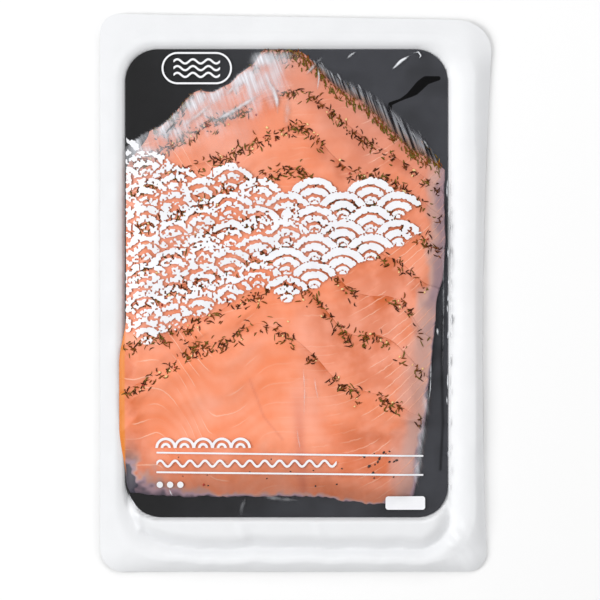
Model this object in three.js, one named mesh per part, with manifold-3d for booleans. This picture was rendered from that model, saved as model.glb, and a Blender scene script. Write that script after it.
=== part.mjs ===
// A vacuum pack of sliced cured salmon: a thermoformed white tray, a black board lying in it, eight slices
// shingled over the board with chopped dill along their head edges, and a clear film sealed round the flange.
// Units are millimetres, +Z is up and +Y points to the pack's head. The plan is worked out from the board's
// centre, and the finished pack is moved so that it stands on the bottom centre of its bounding box.

import * as THREE from "three";
import { mergeVertices } from "three/addons/utils/BufferGeometryUtils.js";
import Module from "manifold-3d";

const wasm = await Module();
wasm.setup();
const { smoothstep, lerp } = THREE.MathUtils;

// Gap between neighbouring pieces
const GAP = 0.3;

// Board
const BOARD_WIDTH = 138.5;
const BOARD_LENGTH = 201;
const BOARD_THICK = 1;
const BOARD_CORNER = 14;
const BOARD_BEVEL = 0.2;

// Tray: a sheet with a recess for the board, a sloping wall that rounds over into a flange, and right and
// bottom rims that droop
const SHEET = 0.9;
const FLANGE_TOP = { left: 3.6, right: 5.2, bottom: 4.6, top: 3.6 };
const FOOT_RISE = { left: 1.2, right: 1.2, bottom: 2.1, top: 1.2 };
const SEAT_PLAY = 0.4;
const BARE_STRIP = 12.4;
const STRIP_CREST = 4;
const STRIP_RISE = 3.3;
const WALL_RUN = { left: 3.9, right: 9.2, bottom: 4.4, top: 3.5 };
const FLANGE_RUN = { left: 6.4, right: 8.6, bottom: 6.6, top: 9.9 };
const WALL_STEPS = [0, 0.5, 1];
const FLANGE_STEPS = [0.4, 0.75, 1];
const SEAT_INSET = 1;
const CREST_INSET = 0.15;
const FLANGE_DROOP = { left: 0.4, right: 4, bottom: 3, top: 0.4 };
const SEAT_CORNERS = [14, 14, 13, 13];
const FOOT_CORNERS = [14, 14, 19, 19];
const MOUTH_CORNERS = [18, 18, 21, 21];
const RIM_CORNERS = [15, 8, 10, 9];
const RIM_LEAN = 1.5;
const RIM_BOW = 2.9;
const CORNER_STEPS = 8;
const SIDE_STEPS = [12, 18, 12, 18];

// Slices: shingle lines are counted from the head edge of the first slice, one pitch apart
const SLICES = 8;
const PITCH = 16.8;
const SLICE_SPAN = 3;
const TAIL_LINE = 11.5;
const SLICE_THICK = 1.9;
const EDGE_THICK = 0.9;
const HEAD_Y = 101.2;
const PEAK_X = 5.8;
const LAST_PEAK_X = -12;
const PEAK_ROUND = 6;
const CHEVRON_FLATTEST = 3.7;
const CHEVRON_SPREAD = 3.5;
const RIGHT_SLOPE = { least: 0.62, gain: 0.35 };
const LEFT_SLOPE = { least: 0.41, gain: 0.21, last: 0.15 };
const EDGE_WAVE = { height: 0.9, run: 9, shift: 2.1 };
const ARM_SAG = { depth: 5, gain: 0.6, x: 22, shift: 0.6, run: 13 };
const END_DROOP = { depth: 9, from: 48, to: 60, line: 4.8, spread: 0.9 };
const HEAD_BULGES = [{ height: 5.5, x: -40, run: 8 }, { height: 4, x: -9, run: 6 }];
const HEAD_RIGHT_RISE = { height: 4, from: 50, to: 64 };
const HEAD_FADE = 2;
const LEFT_X = -68.8;
const LEFT_BULGE = { depth: 2.4, low: [-86, -62], high: [-34, -14] };
const LEFT_HEAD_INSET = { depth: 10, from: 48, to: 66 };
const LEFT_TAIL_INSET = { depth: 3, from: -93, to: -78 };
const RIGHT_X = 64.5;
const RIGHT_TAPER = { depth: 10.5, reach: 92, power: 1.4 };
const TAIL_SAG = { depth: 3.4, from: 5, to: 40 };
const TAIL_RIGHT_RISE = { depth: 6.5, from: 46, to: 60 };
const TAIL_LEFT_RISE = { depth: 5.5, from: -70, to: -48 };
const END_PASSES = 4;
const LINE_STEP = 0.5;
const COLUMNS = 16;
const DRAPE_PASSES = 8;
const HALVINGS = 24;

// Dill: needles fused along the head edge of each slice
const NEEDLES = 14;
const NEEDLE_LENGTH = 4.2;
const NEEDLE_WIDTH = 0.9;
const NEEDLE_HEIGHT = 0.7;
const NEEDLE_BAND = [1.4, 4];
const NEEDLE_SIDE_MARGIN = 5;
const NEEDLE_REACH = 0.75;
const NEEDLE_SEED = 7;
const RANDOM_FACTOR = 16807;
const RANDOM_RANGE = 2147483647;

// Film
const FILM_THICK = 0.3;
const FILM_LIFT = 0.7;
const FILM_SAMPLES = 5;
const FILM_BEND = 0.6;

const BOARD_BOTTOM_Z = SHEET + GAP;
const BOARD_TOP_Z = BOARD_BOTTOM_Z + BOARD_THICK;

// Plan outlines, each grown outwards from the board; corners are listed anticlockwise from the top right
function grow(rect, run, corners) {
  return {
    left: rect.left - run.left,
    right: rect.right + run.right,
    bottom: rect.bottom - run.bottom,
    top: rect.top + run.top,
    corners,
  };
}

function between(a, b, t) {
  return {
    left: lerp(a.left, b.left, t),
    right: lerp(a.right, b.right, t),
    bottom: lerp(a.bottom, b.bottom, t),
    top: lerp(a.top, b.top, t),
    corners: a.corners.map((radius, index) => lerp(radius, b.corners[index], t)),
  };
}

const BOARD = {
  left: -BOARD_WIDTH / 2,
  right: BOARD_WIDTH / 2,
  bottom: -BOARD_LENGTH / 2,
  top: BOARD_LENGTH / 2,
};
const STRIP_SIDE = { left: SEAT_PLAY, right: SEAT_PLAY, bottom: BARE_STRIP, top: SEAT_PLAY };
const FOOT = grow(BOARD, STRIP_SIDE, FOOT_CORNERS);
const MOUTH = grow(FOOT, WALL_RUN, MOUTH_CORNERS);
const RIM = grow(MOUTH, FLANGE_RUN, RIM_CORNERS);

// Points round a rounded rectangle, anticlockwise from its right side, each with its outward normal
function outline(rect) {
  const places = [
    [rect.right, rect.top, -1, -1],
    [rect.left, rect.top, 1, -1],
    [rect.left, rect.bottom, 1, 1],
    [rect.right, rect.bottom, -1, 1],
  ];
  const arcs = places.map(([x, y, inX, inY], index) => {
    const radius = rect.corners[index];
    return Array.from({ length: CORNER_STEPS + 1 }, (_, step) => {
      const angle = ((index + step / CORNER_STEPS) * Math.PI) / 2;
      const normal = new THREE.Vector2(Math.cos(angle), Math.sin(angle));
      const point = new THREE.Vector2(x + inX * radius, y + inY * radius).addScaledVector(normal, radius);
      return { point, normal };
    });
  });
  return arcs.flatMap((arc, index) => {
    const last = arc[CORNER_STEPS];
    const next = arcs[(index + 1) % arcs.length][0];
    const side = Array.from({ length: SIDE_STEPS[index] - 1 }, (_, step) => ({
      point: last.point.clone().lerp(next.point, (step + 1) / SIDE_STEPS[index]),
      normal: last.normal,
    }));
    return [...arc, ...side];
  });
}

// Blends the values of the four sides round a corner by the outward normal
function bySide(values, normal) {
  const across = normal.x > 0 ? values.right : values.left;
  const along = normal.y > 0 ? values.top : values.bottom;
  return across * normal.x ** 2 + along * normal.y ** 2;
}

// The rim is out of square: its head side slopes, and its right side leans and bows inwards
function warpRim(point, amount) {
  const upward = point.y / RIM.top;
  const sideways = point.x / RIM.right;
  const lean = RIM_LEAN * upward - RIM_BOW * (1 - upward ** 2);
  const x = point.x + amount * Math.max(0, sideways) ** 4 * lean;
  const y = point.y - amount * Math.max(0, upward) ** 4 * RIM_LEAN * sideways;
  return new THREE.Vector2(x, y);
}

// A closed ring of points over an outline, at a height given for each outward normal
function ring(rect, height, warp = 0) {
  return outline(rect).map(({ point, normal }) => {
    const place = warpRim(point, warp);
    return new THREE.Vector3(place.x, place.y, height(normal));
  });
}

// Triangles, facing up, between two nested rings, round a middle point, and over a grid of points
function band(inner, outer) {
  return outer.flatMap((point, index) => {
    const next = (index + 1) % outer.length;
    return [[inner[index], point, outer[next]], [inner[index], outer[next], inner[next]]];
  });
}

const bands = (rings) => rings.slice(1).flatMap((outer, index) => band(rings[index], outer));

function fan(middle, points) {
  return points.map((point, index) => [middle, point, points[(index + 1) % points.length]]);
}

function patch(rows) {
  return rows.slice(1).flatMap((row, i) => row.slice(1).flatMap((corner, j) => {
    const [a, b] = [rows[i][j], rows[i][j + 1]];
    return [[row[j], corner, b], [row[j], b, a]];
  }));
}

// A sheet of even thickness on top of a surface that ends at a rim
function sheetGeometry(surface, rim, thickness) {
  const raised = ({ x, y, z }) => new THREE.Vector3(x, y, z + thickness);
  const top = surface.map((corners) => corners.map(raised));
  const edge = band(rim.map(raised), rim);
  const under = surface.map(([a, b, c]) => [a, c, b]);
  return new THREE.BufferGeometry().setFromPoints([...top, ...edge, ...under].flat());
}

// Tray: the wall climbs from its foot as a parabola that levels out at the mouth
function climb(foot, mouth, t) {
  return lerp(foot, mouth, 1 - (1 - t) ** 2);
}

function wallRing(t, lift) {
  const height = (normal) => climb(bySide(FOOT_RISE, normal), bySide(FLANGE_TOP, normal) - SHEET, t) + lift;
  return ring(between(FOOT, MOUTH, t), height);
}

function flangeRings(lift) {
  return FLANGE_STEPS.map((t) => {
    const droop = (normal) => bySide(FLANGE_DROOP, normal) * t ** 2;
    const height = (normal) => bySide(FLANGE_TOP, normal) - SHEET - droop(normal) + lift;
    return ring(between(MOUTH, RIM, t), height, t ** 2);
  });
}

function trayGeometry() {
  const inset = (amount) => ({ left: -amount, right: -amount, bottom: 0, top: -amount });
  const seat = { ...grow(FOOT, inset(SEAT_INSET), SEAT_CORNERS), bottom: BOARD.bottom - SEAT_PLAY };
  const crest = { ...grow(FOOT, inset(CREST_INSET), FOOT_CORNERS), bottom: BOARD.bottom - STRIP_CREST };
  const rise = { left: 0, right: 0, bottom: STRIP_RISE, top: 0 };
  const rings = [
    ring(seat, () => 0),
    ring(crest, (normal) => bySide(rise, normal)),
    ...WALL_STEPS.map((t) => wallRing(t, 0)),
    ...flangeRings(0),
  ];
  const surface = [...fan(new THREE.Vector3(), rings[0]), ...bands(rings)];
  return sheetGeometry(surface, rings[rings.length - 1], SHEET);
}

// Top of the tray's floor, strip and wall at a point of the plan
function trayTop(x, y) {
  const past = {
    left: (FOOT.left - x) / WALL_RUN.left,
    right: (x - FOOT.right) / WALL_RUN.right,
    bottom: (FOOT.bottom - y) / WALL_RUN.bottom,
    top: (y - FOOT.top) / WALL_RUN.top,
  };
  const walls = Object.keys(past).filter((side) => past[side] > 0)
    .map((side) => climb(FOOT_RISE[side], FLANGE_TOP[side] - SHEET, Math.min(1, past[side])));
  const strip = y < BOARD.bottom ? STRIP_RISE : 0;
  return SHEET + Math.max(strip, ...walls);
}

// Board
function boardGeometry() {
  const quarter = Math.PI / 2;
  const shape = new THREE.Shape();
  const reachX = BOARD.right - BOARD_CORNER;
  const reachY = BOARD.top - BOARD_CORNER;
  shape.absarc(reachX, reachY, BOARD_CORNER, 0, quarter);
  shape.absarc(-reachX, reachY, BOARD_CORNER, quarter, 2 * quarter);
  shape.absarc(-reachX, -reachY, BOARD_CORNER, 2 * quarter, 3 * quarter);
  shape.absarc(reachX, -reachY, BOARD_CORNER, 3 * quarter, 4 * quarter);
  const geometry = new THREE.ExtrudeGeometry(shape, {
    depth: BOARD_THICK - 2 * BOARD_BEVEL,
    bevelThickness: BOARD_BEVEL,
    bevelSize: BOARD_BEVEL,
    bevelOffset: -BOARD_BEVEL,
    bevelSegments: 1,
    curveSegments: 6,
  });
  return geometry.translate(0, 0, BOARD_BOTTOM_Z + BOARD_BEVEL);
}

function boardCovers(x, y) {
  const outX = Math.max(0, Math.abs(x) - BOARD.right + BOARD_CORNER);
  const outY = Math.max(0, Math.abs(y) - BOARD.top + BOARD_CORNER);
  return Math.hypot(outX, outY) < BOARD_CORNER;
}

// How far the tail edge hangs below its mean: lowest right of the middle, with rounded corners
function tailDrop(x) {
  const sag = TAIL_SAG.depth * smoothstep(x, TAIL_SAG.from, TAIL_SAG.to);
  const rightRise = TAIL_RIGHT_RISE.depth * smoothstep(x, TAIL_RIGHT_RISE.from, TAIL_RIGHT_RISE.to);
  const leftRise = TAIL_LEFT_RISE.depth * (1 - smoothstep(x, TAIL_LEFT_RISE.from, TAIL_LEFT_RISE.to));
  return sag - rightRise - leftRise;
}

// How far a shingle line strays below its chevron: a long wave, a sag in the right arm that grows towards the
// tail and a drooping right end of the middle slices, less two bulges and a raised right end in the first line
const bell = (value, middle, run) => Math.exp(-(((value - middle) / run) ** 2));

function strayBelow(x, line) {
  const wave = EDGE_WAVE.height * Math.sin(x / EDGE_WAVE.run + EDGE_WAVE.shift * line);
  const counted = Math.min(line, SLICES - 1);
  const sagX = ARM_SAG.x + ARM_SAG.shift * counted;
  const sag = (ARM_SAG.depth + ARM_SAG.gain * counted) * bell(x, sagX, ARM_SAG.run);
  const rightEnd = smoothstep(x, END_DROOP.from, END_DROOP.to);
  const droop = END_DROOP.depth * rightEnd * bell(line, END_DROOP.line, END_DROOP.spread);
  const bulges = HEAD_BULGES.map((bulge) => bulge.height * bell(x, bulge.x, bulge.run));
  const rise = HEAD_RIGHT_RISE.height * smoothstep(x, HEAD_RIGHT_RISE.from, HEAD_RIGHT_RISE.to);
  const raised = bulges.reduce((sum, bulge) => sum + bulge, rise);
  return wave + sag + droop - raised * Math.exp(-HEAD_FADE * line);
}

// Y of a shingle line at x: a rounded chevron, steeper on the right, which flattens out towards the tail; the
// last slice's chevron peaks farther left
function lineY(x, line) {
  const last = SLICES - 1;
  const toLast = smoothstep(line, last - 1, last);
  const away = x - lerp(PEAK_X, LAST_PEAK_X, toLast);
  const fade = Math.min(1, (TAIL_LINE - line) / (TAIL_LINE - last));
  const bend = ((Math.min(line, last) - CHEVRON_FLATTEST) / CHEVRON_SPREAD) ** 2;
  const rightSlope = RIGHT_SLOPE.least + RIGHT_SLOPE.gain * bend * (1 - toLast);
  const leftSlope = LEFT_SLOPE.least + LEFT_SLOPE.gain * Math.exp(-line) + LEFT_SLOPE.last * toLast;
  const slope = away > 0 ? rightSlope : leftSlope;
  const run = Math.hypot(away, PEAK_ROUND) - PEAK_ROUND;
  return HEAD_Y - PITCH * line - fade * (slope * run + strayBelow(x, line)) - (1 - fade) * tailDrop(x);
}

// Left and right edges of the laid salmon at a height y of the plan
function leftEdge(y) {
  const bulge = smoothstep(y, ...LEFT_BULGE.low) * (1 - smoothstep(y, ...LEFT_BULGE.high));
  const head = smoothstep(y, LEFT_HEAD_INSET.from, LEFT_HEAD_INSET.to);
  const tail = 1 - smoothstep(y, LEFT_TAIL_INSET.from, LEFT_TAIL_INSET.to);
  return LEFT_X - LEFT_BULGE.depth * bulge + LEFT_HEAD_INSET.depth * head + LEFT_TAIL_INSET.depth * tail;
}

function rightEdge(y) {
  return RIGHT_X - RIGHT_TAPER.depth * (Math.max(0, -y) / RIGHT_TAPER.reach) ** RIGHT_TAPER.power;
}

function lineEnds(line) {
  let left = LEFT_X;
  let right = RIGHT_X;
  for (let pass = 0; pass < END_PASSES; pass += 1) {
    left = leftEdge(lineY(left, line));
    right = rightEdge(lineY(right, line));
  }
  return [left, right];
}

// The plan grid that all slices share: rows are shingle lines, columns run from edge to edge
const ROWS = TAIL_LINE / LINE_STEP;
const grid = Array.from({ length: ROWS + 1 }, (_, row) => {
  const line = row * LINE_STEP;
  const [left, right] = lineEnds(line);
  return Array.from({ length: COLUMNS + 1 }, (__, column) => {
    const x = lerp(left, right, column / COLUMNS);
    return new THREE.Vector2(x, lineY(x, line));
  });
});

// Top of what is laid so far at each grid point, starting with the bare board and tray
const pile = grid.map((row) => row.map(({ x, y }) => Math.max(BOARD_TOP_Z, trayTop(x, y))));

// Lays a slice on the pile: it drapes over what is under it, as a taut sheet that may bridge hollows
function laySlice(index) {
  const first = index / LINE_STEP;
  const last = index === SLICES - 1 ? ROWS : first + SLICE_SPAN / LINE_STEP;
  const rows = last - first;
  let under = pile.slice(first, last + 1).map((row) => row.map((height) => height + GAP));
  for (let pass = 0; pass < DRAPE_PASSES; pass += 1) {
    under = under.map((row, i) => row.map((height, j) => {
      const above = under[Math.max(0, i - 1)][j];
      const below = under[Math.min(rows, i + 1)][j];
      const left = row[Math.max(0, j - 1)];
      const right = row[Math.min(COLUMNS, j + 1)];
      return Math.max(height, (above + below + left + right) / 4);
    }));
  }
  const top = under.map((row, i) => row.map((height, j) => {
    const onEdge = i === 0 || i === rows || j === 0 || j === COLUMNS;
    return height + (onEdge ? EDGE_THICK : SLICE_THICK);
  }));
  top.forEach((row, i) => {
    pile[first + i] = row;
  });
  const raise = (heights) => heights.map((row, i) => row.map((height, j) => {
    const { x, y } = grid[first + i][j];
    return new THREE.Vector3(x, y, height);
  }));
  return { index, first, top: raise(top), under: raise(under) };
}

function sliceGeometry({ top, under }) {
  const rows = top.length - 1;
  const triangles = [];
  const quad = (a, b, c, d) => triangles.push(a, b, c, a, c, d);
  for (let i = 0; i < rows; i += 1) {
    for (let j = 0; j < COLUMNS; j += 1) {
      quad(top[i + 1][j], top[i + 1][j + 1], top[i][j + 1], top[i][j]);
      quad(under[i + 1][j + 1], under[i + 1][j], under[i][j], under[i][j + 1]);
    }
    quad(under[i + 1][0], top[i + 1][0], top[i][0], under[i][0]);
    quad(top[i + 1][COLUMNS], under[i + 1][COLUMNS], under[i][COLUMNS], top[i][COLUMNS]);
  }
  for (let j = 0; j < COLUMNS; j += 1) {
    quad(top[0][j], top[0][j + 1], under[0][j + 1], under[0][j]);
    quad(under[rows][j], under[rows][j + 1], top[rows][j + 1], top[rows][j]);
  }
  return mergeVertices(new THREE.BufferGeometry().setFromPoints(triangles));
}

// Shingle line through a point of the plan, by halving the interval that holds it
function lineAt(x, y) {
  let low = 0;
  let high = TAIL_LINE;
  for (let pass = 0; pass < HALVINGS; pass += 1) {
    const middle = (low + high) / 2;
    if (lineY(x, middle) > y) {
      low = middle;
    } else {
      high = middle;
    }
  }
  return (low + high) / 2;
}

// Grid cell under a point, with the point's shares along the rows and columns, or null beside the salmon
function cellAt(x, y) {
  const line = lineAt(x, y);
  if (Math.abs(lineY(x, line) - y) > GAP) {
    return null;
  }
  const [left, right] = lineEnds(line);
  const across = ((x - left) / (right - left)) * COLUMNS;
  if (across < 0 || across > COLUMNS) {
    return null;
  }
  const row = Math.min(Math.floor(line / LINE_STEP), ROWS - 1);
  const column = Math.min(Math.floor(across), COLUMNS - 1);
  return { row, column, down: line / LINE_STEP - row, over: across - column };
}

// Dill needles: slim octahedra sunk by half into the slice, in a band below its head edge
function randomSource(seed) {
  let state = seed;
  return () => {
    state = (state * RANDOM_FACTOR) % RANDOM_RANGE;
    return state / RANDOM_RANGE;
  };
}

const random = randomSource(NEEDLE_SEED);

function needleGeometry(slice, share) {
  const [left, right] = lineEnds(slice.index);
  const jitter = (random() - 0.5) / NEEDLES;
  const x = lerp(left + NEEDLE_SIDE_MARGIN, right - NEEDLE_SIDE_MARGIN, share + jitter);
  const y = lineY(x, slice.index) - lerp(...NEEDLE_BAND, random());
  const turn = random() * Math.PI;
  const tip = new THREE.Vector2(NEEDLE_LENGTH / 2, 0).rotateAround(new THREE.Vector2(), turn);
  const farthest = Math.max(lineAt(x + tip.x, y + tip.y), lineAt(x - tip.x, y - tip.y));
  const cell = cellAt(x, y);
  if (!cell || farthest > slice.index + NEEDLE_REACH) {
    return null;
  }
  const row = cell.row - slice.first;
  const near = lerp(slice.top[row][cell.column].z, slice.top[row][cell.column + 1].z, cell.over);
  const far = lerp(slice.top[row + 1][cell.column].z, slice.top[row + 1][cell.column + 1].z, cell.over);
  const geometry = new THREE.OctahedronGeometry(0.5);
  geometry.deleteAttribute("normal");
  geometry.deleteAttribute("uv");
  geometry.scale(NEEDLE_LENGTH, NEEDLE_WIDTH, NEEDLE_HEIGHT).rotateZ(turn);
  return mergeVertices(geometry.translate(x, y, lerp(near, far, cell.down)));
}

function toSolid(geometry) {
  const vertProperties = new Float32Array(geometry.getAttribute("position").array);
  const triVerts = new Uint32Array(geometry.getIndex().array);
  return new wasm.Manifold(new wasm.Mesh({ numProp: 3, vertProperties, triVerts }));
}

function toGeometry(solid) {
  const { vertProperties, triVerts } = solid.getMesh();
  const geometry = new THREE.BufferGeometry();
  geometry.setAttribute("position", new THREE.BufferAttribute(new Float32Array(vertProperties), 3));
  return geometry.setIndex(new THREE.BufferAttribute(new Uint32Array(triVerts), 1));
}

function dilledSlice(slice) {
  let solid = toSolid(sliceGeometry(slice));
  for (let count = 0; count < NEEDLES; count += 1) {
    const needle = needleGeometry(slice, (count + 0.5) / NEEDLES);
    if (needle) {
      solid = solid.add(toSolid(needle));
    }
  }
  return toGeometry(solid);
}

// Top of the contents at a point of the plan, taken as the highest corner of the grid cell under it
function contentTop(x, y) {
  const base = Math.max(trayTop(x, y), boardCovers(x, y) ? BOARD_TOP_Z : 0);
  const cell = cellAt(x, y);
  if (!cell) {
    return base;
  }
  const { row, column } = cell;
  return Math.max(pile[row][column], pile[row][column + 1], pile[row + 1][column], pile[row + 1][column + 1]);
}

// A grid over the tray's floor whose border is the outline of the wall's foot, blended in from all four sides
function floorGrid() {
  const half = CORNER_STEPS / 2;
  const foot = outline(FOOT).map(({ point }) => point);
  const border = [...foot.slice(half), ...foot.slice(0, half + 1)];
  const across = CORNER_STEPS + SIDE_STEPS[0];
  const down = CORNER_STEPS + SIDE_STEPS[1];
  const top = border.slice(0, across + 1).reverse();
  const left = border.slice(across, across + down + 1);
  const bottom = border.slice(across + down, 2 * across + down + 1);
  const right = border.slice(2 * across + down).reverse();
  return left.map((leftPoint, i) => top.map((topPoint, j) => {
    const [v, u] = [i / down, j / across];
    const rows = leftPoint.clone().lerp(right[i], u);
    const columns = topPoint.clone().lerp(bottom[j], v);
    const upper = top[0].clone().lerp(top[across], u);
    const lower = bottom[0].clone().lerp(bottom[across], u);
    return rows.add(columns).sub(upper.lerp(lower, v));
  }));
}

// Highest content under a grid cell, from evenly spread samples
function cellTop(rows, i, j) {
  let highest = 0;
  for (let a = 0; a <= FILM_SAMPLES; a += 1) {
    for (let b = 0; b <= FILM_SAMPLES; b += 1) {
      const upper = rows[i][j].clone().lerp(rows[i][j + 1], a / FILM_SAMPLES);
      const lower = rows[i + 1][j].clone().lerp(rows[i + 1][j + 1], a / FILM_SAMPLES);
      const { x, y } = upper.lerp(lower, b / FILM_SAMPLES);
      highest = Math.max(highest, contentTop(x, y));
    }
  }
  return highest;
}

// Lifts two rings of the film on the wall over the highest content between them, round each of their points
function liftRings(inner, outer) {
  const tops = inner.map((point, index) => {
    const samples = Array.from({ length: FILM_SAMPLES + 1 }, (_, step) => {
      const { x, y } = point.clone().lerp(outer[index], step / FILM_SAMPLES);
      return contentTop(x, y);
    });
    return Math.max(...samples) + FILM_LIFT;
  });
  tops.forEach((top, index) => {
    const height = Math.max(top, tops.at(index - 1), tops[(index + 1) % tops.length]);
    inner[index].z = Math.max(inner[index].z, height);
    outer[index].z = Math.max(outer[index].z, height);
  });
}

// Film: sealed along the flange, and inside it laid over the highest content round each grid point
function filmGeometry() {
  const plan = floorGrid();
  const tops = plan.slice(1).map((row, i) => row.slice(1).map((_, j) => cellTop(plan, i, j)));
  const draped = plan.map((row, i) => row.map(({ x, y }, j) => {
    const near = [tops[i - 1]?.[j - 1], tops[i - 1]?.[j], tops[i]?.[j - 1], tops[i]?.[j]];
    const highest = Math.max(...near.filter((height) => height !== undefined));
    return new THREE.Vector3(x, y, highest + FILM_LIFT);
  }));
  const down = draped.length - 1;
  const across = draped[0].length - 1;
  const border = [
    ...draped[0].slice(1).reverse(),
    ...draped.slice(0, down).map((row) => row[0]),
    ...draped[down].slice(0, across),
    ...draped.slice(1).map((row) => row[across]).reverse(),
  ];
  const half = CORNER_STEPS / 2;
  const foot = [...border.slice(-half), ...border.slice(0, -half)];
  const bend = wallRing(FILM_BEND, SHEET + FILM_LIFT);
  liftRings(foot, bend);
  const sealed = SHEET + GAP;
  const rings = [foot, bend, wallRing(1, sealed), ...flangeRings(sealed)];
  return sheetGeometry([...patch(draped), ...bands(rings)], rings[rings.length - 1], FILM_THICK);
}

// Assembly
const white = new THREE.MeshStandardMaterial({ color: 0xf0f1f3, roughness: 0.45, metalness: 0 });
const black = new THREE.MeshStandardMaterial({ color: 0x222225, roughness: 0.4, metalness: 0 });
const flesh = new THREE.MeshStandardMaterial({ color: 0xf89c78, roughness: 0.4, metalness: 0 });
const clear = new THREE.MeshStandardMaterial({
  color: 0xffffff,
  roughness: 0.1,
  metalness: 0,
  transparent: true,
  opacity: 0.2,
});

function named(name, geometry, material) {
  const mesh = new THREE.Mesh(geometry, material);
  mesh.name = name;
  return mesh;
}

const pack = new THREE.Group();
pack.add(named("tray", trayGeometry(), white));
pack.add(named("board", boardGeometry(), black));
for (let index = 0; index < SLICES; index += 1) {
  pack.add(named(`slice_${index + 1}`, dilledSlice(laySlice(index)), flesh));
}
pack.add(named("film", filmGeometry(), clear));

const box = new THREE.Box3().setFromObject(pack);
const centre = box.getCenter(new THREE.Vector3());
pack.position.set(-centre.x, -centre.y, -box.min.z);

export default pack;
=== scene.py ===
import bpy
import numpy as np
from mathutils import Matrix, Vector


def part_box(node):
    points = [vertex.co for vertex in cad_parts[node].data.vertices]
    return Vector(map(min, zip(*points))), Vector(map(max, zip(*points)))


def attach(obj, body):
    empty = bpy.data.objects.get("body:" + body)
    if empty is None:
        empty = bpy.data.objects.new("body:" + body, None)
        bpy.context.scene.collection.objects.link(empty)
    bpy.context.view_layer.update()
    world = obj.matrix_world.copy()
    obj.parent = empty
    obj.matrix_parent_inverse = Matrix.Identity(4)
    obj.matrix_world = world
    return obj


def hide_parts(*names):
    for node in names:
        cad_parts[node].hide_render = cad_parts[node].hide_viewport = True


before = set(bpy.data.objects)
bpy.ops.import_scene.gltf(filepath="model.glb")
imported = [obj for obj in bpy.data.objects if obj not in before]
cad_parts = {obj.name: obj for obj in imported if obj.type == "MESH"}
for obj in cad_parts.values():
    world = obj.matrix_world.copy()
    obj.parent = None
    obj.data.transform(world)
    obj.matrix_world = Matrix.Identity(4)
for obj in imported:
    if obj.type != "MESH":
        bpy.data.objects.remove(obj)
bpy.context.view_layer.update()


# Tray: a white plastic sheet, heated and drawn by vacuum into a mould. A recess takes the board, the walls
# slope up from it, and the flange round the mouth takes the seal. The shrunk film has pulled the right and
# lower rims down and out of line, and left soft dents in the sheet.
def sides(left, right, bottom, top, corners=()):
    """A value for each side, and for an outline its corner radii, which go round from the top right."""
    return {"left": left, "right": right, "bottom": bottom, "top": top, "corners": corners}


MM = 0.001
SHEET = 0.9
FLANGE_TOP = sides(3.6, 5.2, 5.2, 3.6)
FOOT_RISE = sides(1.2, 1.2, 0.2, 1.0)
SEAT_PLAY = 0.4
BARE_STRIP = 13.4
STRIP_CREST = 7.0
STRIP_RISE = 4.4
WALL_RUN = sides(3.9, 9.2, 5.0, 3.5)
FLANGE_RUN = sides(6.4, 8.6, 5.0, 9.9)
FLANGE_DROOP = sides(0.4, 4.1, 4.2, 0.2)
DROOP_FROM = sides(0.0, 0.2, 0.2, 0.0)
DROOP_LIP = sides(0.0, 0.0, 0.25, 0.0)
FOOT_CORNERS = (14, 14, 26, 13)
MOUTH_CORNERS = (18, 18, 25, 21)
RIM_CORNERS = (15, 8, 10, 9)
RIM_LEAN = 1.5
RIM_BOW = 2.9
TRAY_ZONE = 36.0
TRAY_CELL = 1.6
FLANGE_DENT = 0.5
FLANGE_DENT_SIZE = 13.0
SEAL_LINE = 0.12
CORNER_DENT = 1.1
WRINKLE = 0.3
STRIP_Y = -106
STRIP_RIBS = ((-19, 0.2), (14, 0.3))
RIB_RISE = 0.5
TONGUE = [(-65, -94.5), (-63.6, -100), (-62.8, -105.5)]
TONGUE_RISE = 0.9
BOARD_CORNERS = (14, 14, 16, 13)

board_low, board_high = (np.array(corner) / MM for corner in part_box("board"))
plan_centre = (board_low + board_high)[:2] / 2
half_width, half_length = (board_high - board_low)[:2] / 2
board_edge = sides(-half_width, half_width, -half_length, half_length, BOARD_CORNERS)


def grown(outline, run, corners):
    """An outline with each side moved out by its own run, and with new corners."""
    return sides(*(outline[side] + way * run[side] for side, way in zip(run, (-1, 1, -1, 1))), corners)


seat_run = sides(SEAT_PLAY, SEAT_PLAY, BARE_STRIP, SEAT_PLAY)
foot = grown(board_edge, seat_run, FOOT_CORNERS)
mouth = grown(foot, WALL_RUN, MOUTH_CORNERS)
rim = grown(mouth, FLANGE_RUN, RIM_CORNERS)


def beyond(x, y, outline):
    """Distance outside a rounded rectangle, below 0 inside, and how much of the way out is sideways: both
    from a point's reach past the centre of its own corner on each axis."""
    across = x - (outline["left"] + outline["right"]) / 2
    along = y - (outline["bottom"] + outline["top"]) / 2
    top_right, top_left, bottom_left, bottom_right = outline["corners"]
    radius = np.where(across > 0, np.where(along > 0, top_right, bottom_right),
                      np.where(along > 0, top_left, bottom_left))
    past_x = np.abs(across) - (outline["right"] - outline["left"]) / 2 + radius
    past_y = np.abs(along) - (outline["top"] - outline["bottom"]) / 2 + radius
    out_x, out_y = np.maximum(past_x, 0), np.maximum(past_y, 0)
    distance = np.hypot(out_x, out_y) + np.minimum(np.maximum(past_x, past_y), 0) - radius
    return distance, out_x**2 / (out_x**2 + out_y**2 + 1e-9)


def eased(value, low, high):
    """0 below low, 1 above high, and 3t^2 - 2t^3 between them; it falls where low is the higher one."""
    share = np.clip((value - low) / (high - low), 0, 1)
    return share**2 * (3 - 2 * share)


def bell(value, width):
    """1 at 0, falling off on both sides as exp(-(value / width)^2)."""
    return np.exp(-(value / width)**2)


def flange_share(x, y):
    """How far out on the flange a point lies: 0 at the mouth and within it, 1 at the rim."""
    past_mouth, _ = beyond(x, y, mouth)
    past_rim, _ = beyond(x, y, rim)
    return np.clip(past_mouth / (past_mouth - past_rim), 0, 1)


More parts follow.
